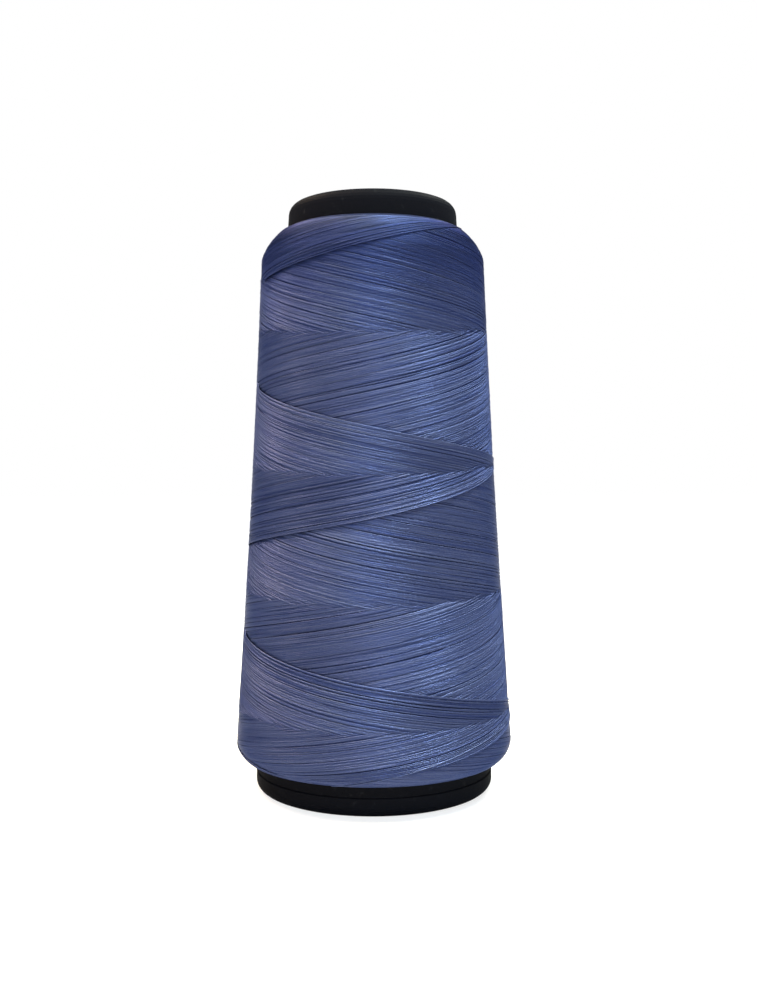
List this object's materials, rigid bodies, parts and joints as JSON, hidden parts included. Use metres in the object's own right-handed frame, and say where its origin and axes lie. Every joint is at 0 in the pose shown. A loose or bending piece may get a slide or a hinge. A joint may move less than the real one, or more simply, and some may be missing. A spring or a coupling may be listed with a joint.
{
  "type": "cone of sewing thread",
  "caption": "Hollow moulded cone carrying a cross-wound package of blue sewing thread, standing on its base, with an open nose for a spindle.",
  "frame": {"origin": "centre of the ring that the cone stands on, on its resting plane", "axes": "+Z along the cone's axis, from the base to the nose; -Y is the side that faces the viewer"},
  "size_m": [0.0795, 0.0796, 0.17],
  "materials": {
    "cone_plastic": "black injection-moulded plastic, semi-gloss with a fine mould texture",
    "thread": "wound spun sewing thread with a soft sheen along the strands"
  },
  "bodies": {
    "root": {"cone_core": "cone_plastic", "thread_package": "thread", "outer_winding": "thread"}
  },
  "joints": []
}
